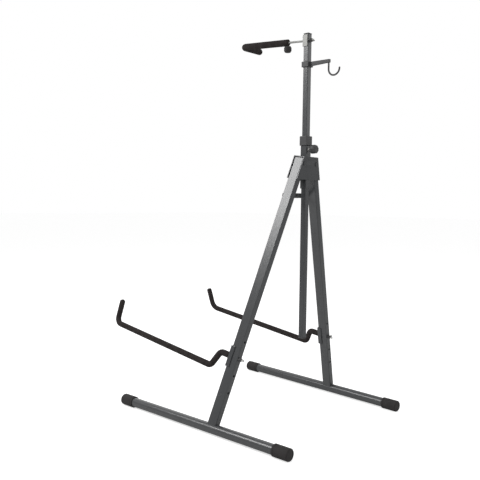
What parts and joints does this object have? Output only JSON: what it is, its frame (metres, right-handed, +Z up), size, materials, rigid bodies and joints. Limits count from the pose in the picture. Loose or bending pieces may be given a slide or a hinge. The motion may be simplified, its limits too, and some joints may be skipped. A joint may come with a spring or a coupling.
{
  "type": "double bass stand",
  "caption": "Folding floor stand for a double bass: two legs on floor bars, padded support arms, a telescoping mast with an open padded neck rest and a bow hook.",
  "frame": {"origin": "on the floor, under the middle of the box round the whole stand", "axes": "+Z up; -Y is the front, where the arms and the neck rest point; +X is the right leg"},
  "size_m": [0.7454, 0.9596, 1.3798],
  "materials": {
    "dark_paint": "satin dark grey powder coat",
    "rubber": "matt moulded rubber",
    "foam": "matt closed-cell foam",
    "zinc": "bright zinc plate",
    "plastic": "moulded plastic"
  },
  "bodies": {
    "head": {"head_sleeve": "dark_paint", "sleeve_collar": "plastic", "head_bracket": "dark_paint", "pivot_bolt_right": "dark_paint", "pivot_bolt_left": "dark_paint", "pivot_washer_rear_right": "plastic", "pivot_washer_front_right": "plastic", "pivot_washer_rear_left": "plastic", "pivot_washer_front_left": "plastic", "screw_boss": "zinc"},
    "knob": {"height_knob": "plastic"},
    "mast": {"mast": "dark_paint", "mast_cap_top": "plastic", "mast_cap_bottom": "plastic"},
    "neck_rest": {"rest_saddle": "zinc", "rest_stud": "zinc", "rest_rod": "zinc", "rest_pad": "foam", "rest_pad_tip": "foam", "rest_pad_stop": "rubber"},
    "rest_nut": {"rest_wing_nut": "plastic"},
    "bow_hook": {"bow_hook_clamp": "plastic", "bow_hook_wire": "plastic"},
    "leg_right": {"leg_right": "dark_paint", "leg_cap_right": "plastic", "floor_bar_right": "dark_paint", "bar_cap_rear_right": "rubber", "bar_cap_front_right": "rubber", "stay_bolt_right": "dark_paint"},
    "arm_right": {"arm_bracket_right": "dark_paint", "arm_stud_right": "zinc", "arm_tube_right": "dark_paint", "arm_foam_right": "foam", "arm_tip_right": "foam"},
    "arm_nut_right": {"arm_wing_nut_right": "plastic"},
    "stay_right": {"stay_link_right": "dark_paint", "stay_rivet_right": "dark_paint"},
    "leg_left": {"leg_left": "dark_paint", "leg_cap_left": "plastic", "floor_bar_left": "dark_paint", "bar_cap_rear_left": "rubber", "bar_cap_front_left": "rubber", "stay_bolt_left": "dark_paint"},
    "arm_left": {"arm_bracket_left": "dark_paint", "arm_stud_left": "zinc", "arm_tube_left": "dark_paint", "arm_foam_left": "foam", "arm_tip_left": "foam"},
    "arm_nut_left": {"arm_wing_nut_left": "plastic"},
    "stay_left": {"stay_link_left": "dark_paint", "stay_rivet_left": "dark_paint"}
  },
  "joints": [
    {"name": "mast_slide", "type": "slide", "parent": "head", "child": "mast", "axis": [0, 0, 1], "range_m": [-0.2, 0.3]},
    {"name": "knob_turn", "type": "hinge", "parent": "head", "child": "knob", "pos_m": [0, 0.26982, 0.96459], "axis": [0, 1, 0], "continuous": true},
    {"name": "neck_rest_pull", "type": "slide", "parent": "mast", "child": "neck_rest", "axis": [0, -1, 0], "range_m": [0, 0.04]},
    {"name": "rest_nut_turn", "type": "hinge", "parent": "mast", "child": "rest_nut", "pos_m": [0, 0.28182, 1.34059], "axis": [0, 1, 0], "continuous": true},
    {"name": "bow_hook_slide", "type": "slide", "parent": "mast", "child": "bow_hook", "axis": [0, 0, 1], "range_m": [-0.02, 0.035]},
    {"name": "leg_fold_right", "type": "hinge", "parent": "head", "child": "leg_right", "pos_m": [0.033, 0.26982, 0.91759], "axis": [0, 0.9918, -0.1281], "range_deg": [0, 18]},
    {"name": "arm_pull_right", "type": "slide", "parent": "leg_right", "child": "arm_right", "axis": [0, -0.9918, 0.1281], "range_m": [0, 0.06]},
    {"name": "arm_nut_turn_right", "type": "hinge", "parent": "leg_right", "child": "arm_nut_right", "pos_m": [0.25503, 0.20261, 0.25053], "axis": [0, 0.9918, -0.1281], "continuous": true},
    {"name": "stay_fold_right", "type": "hinge", "parent": "leg_right", "child": "stay_right", "pos_m": [0.072, 0.25474, 0.80085], "axis": [0, 0.9918, -0.1281], "range_deg": [-79.3, 0]},
    {"name": "leg_fold_left", "type": "hinge", "parent": "head", "child": "leg_left", "pos_m": [-0.033, 0.26982, 0.91759], "axis": [0, 0.9918, -0.1281], "range_deg": [-18, 0]},
    {"name": "arm_pull_left", "type": "slide", "parent": "leg_left", "child": "arm_left", "axis": [0, -0.9918, 0.1281], "range_m": [0, 0.06]},
    {"name": "arm_nut_turn_left", "type": "hinge", "parent": "leg_left", "child": "arm_nut_left", "pos_m": [-0.25503, 0.20261, 0.25053], "axis": [0, 0.9918, -0.1281], "continuous": true},
    {"name": "stay_fold_left", "type": "hinge", "parent": "leg_left", "child": "stay_left", "pos_m": [-0.072, 0.25474, 0.80085], "axis": [0, 0.9918, -0.1281], "range_deg": [0, 79.3]}
  ],
  "couplings": [
    {"joint": "leg_fold_left", "follows": "leg_fold_right", "ratio": -1},
    {"joint": "stay_fold_right", "follows": "leg_fold_right", "ratio": -4.4},
    {"joint": "stay_fold_left", "follows": "leg_fold_right", "ratio": 4.4}
  ]
}
